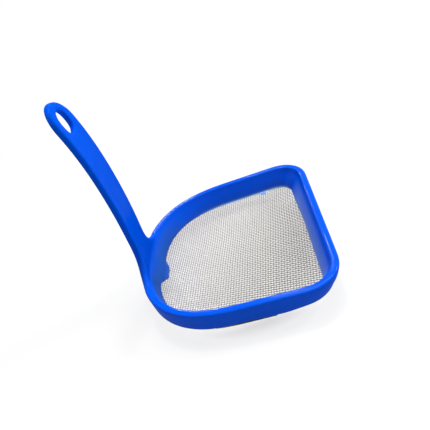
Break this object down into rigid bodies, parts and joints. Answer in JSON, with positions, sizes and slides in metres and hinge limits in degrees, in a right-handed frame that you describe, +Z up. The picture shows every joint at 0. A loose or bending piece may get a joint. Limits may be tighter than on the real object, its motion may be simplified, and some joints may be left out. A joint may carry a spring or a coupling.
{
  "type": "mesh strainer scoop",
  "caption": "Shallow D-shaped scoop with a woven wire floor in a moulded plastic frame and an upright strip handle with a hang hole, for sifting and draining.",
  "frame": {"origin": "on the resting surface, under the middle of the overall length and width", "axes": "+X towards the straight front edge of the frame, +Y to the left side seen from the handle, +Z up along the handle"},
  "size_m": [0.141, 0.1488, 0.1492],
  "materials": {
    "frame_plastic": "glossy injection-moulded polypropylene, royal blue",
    "wire_cloth": "bright drawn stainless wire, plain weave"
  },
  "bodies": {
    "root": {"crosswise_wire_01": "wire_cloth", "crosswise_wire_02": "wire_cloth", "crosswise_wire_03": "wire_cloth", "crosswise_wire_04": "wire_cloth", "crosswise_wire_05": "wire_cloth", "crosswise_wire_06": "wire_cloth", "crosswise_wire_07": "wire_cloth", "crosswise_wire_08": "wire_cloth", "crosswise_wire_09": "wire_cloth", "crosswise_wire_10": "wire_cloth", "crosswise_wire_11": "wire_cloth", "crosswise_wire_12": "wire_cloth", "crosswise_wire_13": "wire_cloth", "crosswise_wire_14": "wire_cloth", "crosswise_wire_15": "wire_cloth", "crosswise_wire_16": "wire_cloth", "crosswise_wire_17": "wire_cloth", "lengthwise_wire_01": "wire_cloth", "lengthwise_wire_02": "wire_cloth", "lengthwise_wire_03": "wire_cloth", "lengthwise_wire_04": "wire_cloth", "lengthwise_wire_05": "wire_cloth", "lengthwise_wire_06": "wire_cloth", "lengthwise_wire_07": "wire_cloth", "lengthwise_wire_08": "wire_cloth", "lengthwise_wire_09": "wire_cloth", "lengthwise_wire_10": "wire_cloth", "lengthwise_wire_11": "wire_cloth", "lengthwise_wire_12": "wire_cloth", "lengthwise_wire_13": "wire_cloth", "lengthwise_wire_14": "wire_cloth", "lengthwise_wire_15": "wire_cloth", "lengthwise_wire_16": "wire_cloth", "lengthwise_wire_17": "wire_cloth", "moulded_body": "frame_plastic"}
  },
  "joints": []
}
